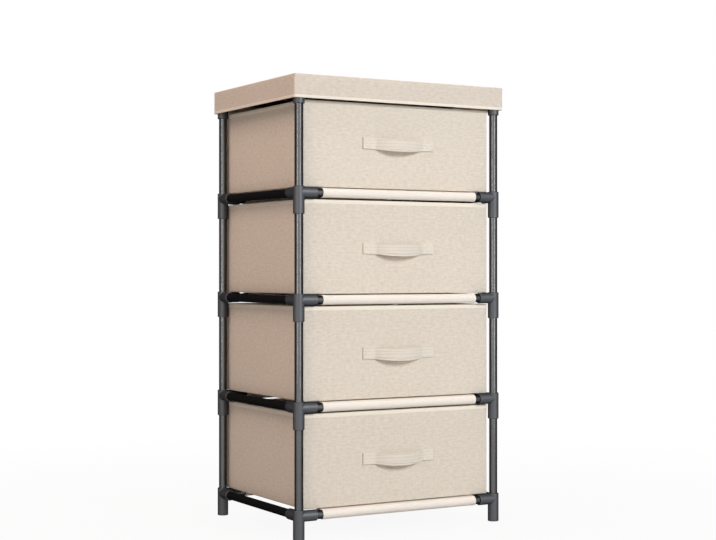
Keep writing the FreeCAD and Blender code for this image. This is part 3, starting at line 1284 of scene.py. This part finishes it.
@dataclass
class HandleStrap:
    """Webbing strap that bows out from a drawer front, with its folded ends sewn down."""

    body: str
    thickness: float = 1.45 * MM
    fold: float = 1.5 * MM             # radius of a folded end, on its outside
    fold_steps: int = 6
    patch: float = 26.0 * MM
    patch_steps: int = 5
    tuck: float = 2.0 * MM             # the folded-under end stops this far short of the loop
    tuck_steps: int = 4
    root_radius: float = 7.0 * MM
    root_steps: int = 8
    crest_steps: int = 28
    sag: float = 3.8 * MM
    sag_low: float = 1.15              # share of the sag that the loop's lower edge takes
    sag_rise: float = 0.5              # how much less its upper edge takes
    edge_seam: float = 2.0 * MM
    edge_steps: int = 2
    middle_steps: int = 6              # between the seams of the long edges
    edge_groove: float = 1.0 * MM
    seam_depth: float = 0.4 * MM
    sunk: float = 0.2 * MM             # pulled into the drawer's cloth by the sewing
    sewn_inset: float = 3.2 * MM
    stitch: Stitch = Stitch(length=3.2 * MM, pitch=3.8 * MM, thickness=1.0 * MM, proud=0.15 * MM)

    def __post_init__(self) -> None:
        """Take the places from the frame."""
        self.box = Box.of_node(f"{self.body}_handle_strap")
        self.face_y = self.box.high.y + self.sunk
        self.half_loop = self.box.size.x / 2 - self.patch

    def draw_outside(self) -> Trace:
        """Draw the outer side of the strap at its lower edge, from one tucked end to the other.

        Returns:
            The line.
        """
        low = self.box.low.z
        middle = self.box.centre.x
        flat = Axis.X.unit * (self.patch - self.fold)
        tucked = Axis.X.unit * (self.patch - self.fold - self.tuck)
        rise = self.face_y - 2 * self.fold - self.box.low.y
        turn = 2 * math.atan(rise / self.half_loop)
        crest_radius = self.half_loop / math.sin(turn) - self.root_radius
        line = Trace(Vector((middle - self.half_loop - self.tuck, self.face_y, low)))
        line.advance(-tucked, self.tuck_steps)
        bend = Vector((self.box.low.x + self.fold, self.face_y - self.fold, low))
        line.turn(bend, Axis.Z, math.pi, self.fold_steps)
        line.advance(flat, self.patch_steps)
        root = Vector((middle - self.half_loop, self.face_y - 2 * self.fold - self.root_radius, low))
        line.turn(root, Axis.Z, -turn, self.root_steps)
        crest = Vector((middle, self.box.low.y + crest_radius, low))
        line.turn(crest, Axis.Z, 2 * turn, self.crest_steps)
        root.x = middle + self.half_loop
        line.turn(root, Axis.Z, -turn, self.root_steps)
        line.advance(flat, self.patch_steps)
        bend.x = self.box.high.x - self.fold
        line.turn(bend, Axis.Z, math.pi, self.fold_steps)
        line.advance(-tucked, self.tuck_steps)
        line.close_line()
        return line

    def make_strap(self) -> Object:
        """Sweep the drawn line over the strap's width, seam its long edges and let the loop sag.

        Returns:
            The strap.
        """
        line = self.draw_outside()
        half_groove = self.edge_groove / 2
        inset = self.edge_seam + half_groove
        middle = self.box.size.z - 2 * (inset + half_groove), self.middle_steps
        rim, groove = (self.edge_seam, self.edge_steps), (half_groove, 1)
        for width, steps in (rim, groove, groove, middle, groove, groove, rim):
            line.advance(Axis.Z.unit * width, steps)
        mesh = line.mesh
        bmesh.ops.recalc_face_normals(mesh, faces=mesh.faces[:])
        mesh.normal_update()
        grooves = (self.box.low.z + inset, self.box.high.z - inset)
        for vert in mesh.verts:
            if min(abs(vert.co.z - place) for place in grooves) < TINY:
                vert.co -= vert.normal * self.seam_depth
        thicken(mesh, self.thickness)
        self.let_sag(mesh)
        piece = make_piece(mesh, f"{self.body}_strap", self.body, WEBBING, Axis.Z)
        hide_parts(f"{self.body}_handle_strap")
        return piece

    def let_sag(self, mesh: BMesh) -> None:
        """Lower the loop between its sewn ends, most in its middle and along its lower edge.

        Args:
            mesh: the strap.
        """
        for vert in mesh.verts:
            share = (vert.co.x - self.box.centre.x) / self.half_loop
            if abs(share) < 1:
                height = (vert.co.z - self.box.low.z) / self.box.size.z
                vert.co.z -= self.sag * (self.sag_low - self.sag_rise * height) * (1 - share * share)

    def make_stitches(self) -> Object:
        """Sew a box with a cross in it on each end.

        Returns:
            The stitches, as one piece.
        """
        sewing = Sewing(self.stitch)
        inset = self.sewn_inset
        y = self.face_y - 2 * self.fold
        low, high = self.box.low.z + inset, self.box.high.z - inset
        for left in (self.box.low.x, self.box.high.x - self.patch):
            near, far = left + inset, left + self.patch - inset
            corners = [Vector((x, y, z))
                       for x, z in ((near, low), (far, low), (far, high), (near, high))]
            for start, end in ((0, 1), (1, 2), (2, 3), (3, 0), (0, 2), (1, 3)):
                sewing.straight(corners[start], corners[end], -Axis.Y.unit)
        return make_piece(sewing.mesh, f"{self.body}_strap_stitches", self.body, THREAD)

    def build(self) -> None:
        """Make the strap and its sewing."""
        self.make_strap()
        self.make_stitches()


@dataclass
class Drawer:
    """One cloth drawer: outer cloth, lining, base board, rim binding, handle strap and stitches."""

    number: int
    cloth: float = 0.8 * MM
    wall: float = 4.2 * MM
    corner_radius: float = 2.0 * MM
    foot_radius: float = 1.9 * MM
    foot_segments: int = 3
    lining_corner: float = 1.5         # radius of the lining's corners, in thicknesses of its cloth
    grid: float = 24.0 * MM
    swelling: float = 0.55 * MM
    swelling_length: float = 95.0 * MM
    calm_border: float = 26.0 * MM
    seam_insets: tuple[float, float] = (9.0 * MM, 18.0 * MM)
    seam_width: float = 0.9 * MM
    seam_depth: float = 0.35 * MM
    seam_foot: float = 4.0 * MM        # from the drawer's bottom up to a seam's first stitch
    seam_gap: float = 1.0 * MM         # from a seam's last stitch up to the binding
    binding: float = 0.7 * MM
    binding_stitch: float = 2.2 * MM   # up from the binding's lower edge
    base_swelling: float = 0.4 * MM
    base_corner: float = 2.5 * MM
    base_corner_segments: int = 3
    base_edge: float = 0.9 * MM
    base_edge_segments: int = 2

    def __post_init__(self) -> None:
        """Take the places from the frame."""
        self.body = f"drawer_{self.number}"
        self.shell = Box.of_node(f"{self.body}_shell")
        self.band = Box.of_node(f"{self.body}_rim_binding")
        self.base = Box.of_node(f"{self.body}_base_board")
        self.seams = [place for inset in self.seam_insets
                      for place in (self.shell.low.x + inset, self.shell.high.x - inset)]

    def make_outer_cloth(self) -> Object:
        """Build the outside of the walls and the bottom, with the upright seams pressed in.

        Returns:
            The cloth.
        """
        box = self.shell
        mesh = box_mesh(box)
        round_edges(mesh, upright_edges(mesh), self.corner_radius, CORNER_SEGMENTS)
        round_edges(mesh, level_edges(mesh, box.low.z), self.foot_radius, self.foot_segments)
        open_side(mesh, box.high.z)
        cut_to_grid(mesh, box, self.grid)
        for place in self.seams:
            cut_across(mesh, Axis.X, (place - self.seam_width, place, place + self.seam_width))
        ruffle(mesh, box, self.swelling, self.swelling_length, self.calm_border)
        for vert in mesh.verts:
            vert.co.z = max(vert.co.z, box.low.z)
        for place in self.seams:
            press_groove(mesh, box, Axis.X, place, self.seam_depth)
        thicken(mesh, self.cloth)
        piece = make_piece(mesh, f"{self.body}_outer_cloth", self.body, LINEN)
        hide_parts(f"{self.body}_shell")
        return piece

    def make_lining(self) -> None:
        gap = self.wall - self.cloth
        box = self.shell.grown(-gap, -gap).between(Axis.Z, self.shell.low.z + self.cloth,
                                                   self.shell.high.z)
        mesh = box_mesh(box)
        round_edges(mesh, upright_edges(mesh), self.lining_corner * self.cloth, CORNER_SEGMENTS)
        open_side(mesh, box.high.z)
        open_side(mesh, box.low.z)
        cut_to_grid(mesh, box, self.grid)
        thicken(mesh, self.cloth)
        piece = make_piece(mesh, f"{self.body}_lining", self.body, LINING)

    def make_base(self) -> None:
        """Lay in the loose base board in its cloth."""
        box = self.base
        mesh = box_mesh(box)
        round_edges(mesh, upright_edges(mesh), self.base_corner, self.base_corner_segments)
        level = level_edges(mesh, box.high.z) + level_edges(mesh, box.low.z)
        round_edges(mesh, level, self.base_edge, self.base_edge_segments)
        cut_to_grid(mesh, box, self.grid, (Axis.X, Axis.Y))
        ruffle(mesh, box, self.base_swelling, self.swelling_length, self.calm_border)
        piece = make_piece(mesh, f"{self.body}_base", self.body, LINING)
        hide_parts(f"{self.body}_base_board")

    def make_binding(self) -> Object:
        """Fold tape over the rim, with the wall standing in its fold.

        Returns:
            The tape.
        """
        tape = FoldedTape(self.band, self.wall, self.binding, self.corner_radius + self.binding,
                          self.grid, over_top=True)
        piece = make_piece(tape.make(), f"{self.body}_binding", self.body, BINDING_WITH_PAINTED_LIGHT)
        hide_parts(f"{self.body}_rim_binding")
        return piece

    def make_stitches(self) -> Object:
        """Sew along the binding and the upright seams, sunk so that the stitches clear the connectors.

        Returns:
            The stitches, as one piece.
        """
        sewing = Sewing(Stitch(proud=0.0))
        z = self.band.low.z + self.binding_stitch
        sewing.level_round(self.band, z, self.corner_radius + self.binding, 1.0)
        inside = self.wall + 2 * self.binding
        sewing.level_round(self.band.grown(-inside, -inside), z, FoldedTape.least_radius, -1.0)
        low, high = self.shell.low.z + self.seam_foot, self.band.low.z - self.seam_gap
        for x in self.seams:
            for wall_y, facing in ((self.shell.low.y, -1.0), (self.shell.high.y, 1.0)):
                y = wall_y - facing * self.seam_depth
                sewing.straight(Vector((x, y, low)), Vector((x, y, high)), Axis.Y.unit * facing)
        return make_piece(sewing.mesh, f"{self.body}_stitches", self.body, THREAD)

    def build(self) -> None:
        """Make every piece of the drawer."""
        cloth = self.make_outer_cloth()
        trim = [self.make_binding(), self.make_stitches()]
        self.make_lining()
        self.make_base()
        HandleStrap(self.body).build()


# --------------------------------------------------------------------------------------------------
# Studio


def area_lamp(name: str, width: float, height: float, radiance: float,
              colour: tuple[float, float, float]) -> Object:
    """Make a soft rectangular lamp that the camera doesn't see.

    Args:
        name: the lamp's name.
        width: its width.
        height: its height.
        radiance: how bright its face is.
        colour: the colour of its light.

    Returns:
        The lamp, at the origin and facing down.
    """
    lamp = bpy.data.lights.new(name, "AREA")
    lamp.shape = "RECTANGLE"
    lamp.size = width
    lamp.size_y = height
    lamp.energy = radiance * math.pi * width * height
    lamp.color = colour
    holder = bpy.data.objects.new(name, lamp)
    bpy.context.scene.collection.objects.link(holder)
    holder.visible_camera = False
    return holder


@dataclass(frozen=True, kw_only=True)
class Softbox:
    """A soft lamp that faces the object: level, or raised and looking down on it."""

    name: str
    azimuth_deg: float                 # 0 is straight in front, and it grows to the right
    distance: float
    width: float
    height: float
    base: float = 0.0                  # height of a level lamp's lower edge
    radiance: float
    colour: tuple[float, float, float]
    raised_deg: float = 0.0            # how steeply it looks down
    aim_height: float = 0.5            # what a raised lamp looks at, above the floor

    def place(self) -> None:
        """Set the lamp up."""
        azimuth, raised = math.radians(self.azimuth_deg), math.radians(self.raised_deg)
        towards = Vector((math.sin(azimuth) * math.cos(raised), -math.cos(azimuth) * math.cos(raised),
                          math.sin(raised)))
        aim = self.aim_height if raised else self.base + self.height / 2
        lamp = area_lamp(self.name, self.width, self.height, self.radiance, self.colour)
        lamp.location = towards * self.distance + Axis.Z.unit * aim
        lamp.rotation_euler = (-towards).to_track_quat("-Z", "Y").to_euler()


@dataclass(frozen=True, kw_only=True)
class TopLight:
    """A wide soft lamp overhead, facing down."""

    name: str
    above_floor: float
    width: float
    radiance: float
    colour: tuple[float, float, float]

    def place(self) -> None:
        """Set the lamp up."""
        lamp = area_lamp(self.name, self.width, self.width, self.radiance, self.colour)
        lamp.location = (0, 0, self.above_floor)


@dataclass(frozen=True)
class Studio:
    """Camera, lamps, pale floor and pale surroundings."""

    camera_place: tuple[float, float, float] = (-1.5058, -2.6298, 0.4998)
    camera_heading_deg: float = -29.84
    lens_mm: float = 75.54
    sensor_mm: float = 36.0
    ambient: tuple[float, float, float] = (0.145, 0.122, 0.108)
    floor_size: float = 60.0
    floor_albedo: float = 0.42
    floor_roughness: float = 0.9
    shadow_share: float = 0.08         # how much of the floor's own shading the camera sees
    shadow_reach: float = 1.6          # beyond this the floor is plain white
    lamps: tuple[Softbox | TopLight, ...] = (
        Softbox(name="bank", azimuth_deg=-12.0, distance=2.6, width=3.8, height=1.1,
                radiance=0.38, colour=(0.94, 0.99, 1.0)),
        Softbox(name="strip", azimuth_deg=11.0, distance=2.6, width=0.14, height=1.1, base=0.05,
                radiance=17.5, colour=(0.92, 0.96, 1.0)),
        Softbox(name="key", azimuth_deg=14.0, distance=5.0, width=0.92, height=1.6, base=2.0,
                radiance=45.6, colour=(0.93, 0.97, 1.0)),
        Softbox(name="fill", azimuth_deg=-62.0, distance=2.6, width=0.20, height=1.1, base=0.15,
                radiance=13.0, colour=(1.0, 0.86, 0.79)),
        Softbox(name="left_overhead", azimuth_deg=-84.0, distance=2.6, width=1.5, height=1.5,
                radiance=4.6, colour=(1.0, 0.77, 0.675), raised_deg=52.0),
        Softbox(name="rear", azimuth_deg=138.0, distance=3.0, width=2.5, height=1.6, base=0.4,
                radiance=7.0, colour=(1.0, 0.98, 0.95)),
        TopLight(name="overhead", above_floor=3.2, width=1.6, radiance=1.6,
                 colour=(1.0, 0.97, 0.94)),
    )

    def set_camera(self) -> None:
        """Set up a level camera, a little above the object's mid height."""
        camera = bpy.data.cameras.new("camera")
        camera.sensor_width = self.sensor_mm
        camera.lens = self.lens_mm
        holder = bpy.data.objects.new("camera", camera)
        bpy.context.scene.collection.objects.link(holder)
        holder.location = self.camera_place
        holder.rotation_euler = (math.radians(90), 0, math.radians(self.camera_heading_deg))
        bpy.context.scene.camera = holder

    def seen_directly(self, wiring: Wiring) -> NodeSocket:
        """Tell the rays that look at a surface from the rays that light it.

        Args:
            wiring: the material's or the world's nodes.

        Returns:
            1 for the camera's own rays, mirror rays and rays through glass, and 0 for light.
        """
        path = wiring.add("ShaderNodeLightPath").outputs
        shown = wiring.calc("MAXIMUM", path["Is Camera Ray"], path["Is Glossy Ray"])
        return wiring.calc("MAXIMUM", shown, path["Is Transmission Ray"])

    def set_world(self) -> None:
        """Make the surroundings white to look at, and a dim even light."""
        world = bpy.data.worlds.new("surroundings")
        world.use_nodes = True
        world.node_tree.nodes.clear()
        wiring = Wiring(world.node_tree)
        light = wiring.add("ShaderNodeBackground", {"Color": (*self.ambient, 1.0)})
        white = wiring.add("ShaderNodeBackground", {"Color": WHITE})
        mixed = wiring.mixed(self.seen_directly(wiring), light, white)
        wiring.add("ShaderNodeOutputWorld", {"Surface": mixed})
        bpy.context.scene.world = world

    def floor_material(self) -> Material:
        """Make a surface that looks white far out and shows a faint shadow near the object.

        Returns:
            The material.
        """
        material = bpy.data.materials.new("floor")
        material.use_nodes = True
        wiring = Wiring(material.node_tree)
        shader = material.node_tree.nodes["Principled BSDF"]
        shader.inputs["Base Color"].default_value = (*[self.floor_albedo] * 3, 1.0)
        shader.inputs["Roughness"].default_value = self.floor_roughness
        shader.inputs["Specular IOR Level"].default_value = 0.0
        distance = wiring.add("ShaderNodeVectorMath", operation="LENGTH")
        wiring.feed(distance.inputs[0], wiring.on_object())
        reach = wiring.calc("DIVIDE", distance.outputs["Value"], self.shadow_reach)
        near = wiring.calc("SUBTRACT", 1.0, reach, clamp=True)
        white = wiring.calc("MULTIPLY_ADD", near, -self.shadow_share, 1.0)
        share = wiring.calc("MULTIPLY", white, self.seen_directly(wiring))
        glow = wiring.add("ShaderNodeEmission", {"Color": WHITE, "Strength": 1.0})
        output = material.node_tree.nodes["Material Output"]
        wiring.feed(output.inputs["Surface"], wiring.mixed(share, shader, glow))
        return material

    def set_floor(self) -> None:
        """Lay the floor."""
        mesh = bmesh.new()
        bmesh.ops.create_grid(mesh, x_segments=1, y_segments=1, size=self.floor_size / 2)
        data = bpy.data.meshes.new("floor")
        mesh.to_mesh(data)
        mesh.free()
        data.materials.append(self.floor_material())
        floor = bpy.data.objects.new("floor", data)
        bpy.context.scene.collection.objects.link(floor)

    def set_up(self) -> None:
        """Place everything that isn't the object."""
        bpy.context.scene.view_settings.view_transform = "Standard"
        self.set_camera()
        self.set_world()
        self.set_floor()
        for lamp in self.lamps:
            lamp.place()


def main() -> None:
    """Build the dresser's pieces in order, and the studio round it."""
    logging.basicConfig(level=logging.INFO, format="%(message)s")
    Studio().set_up()
    TubeFrame().dress()
    FittedCover().build()
    for number in range(1, TIERS + 1):
        ShelfPanel(number).build()
        Drawer(number).build()


if __name__ == "__main__":
    main()
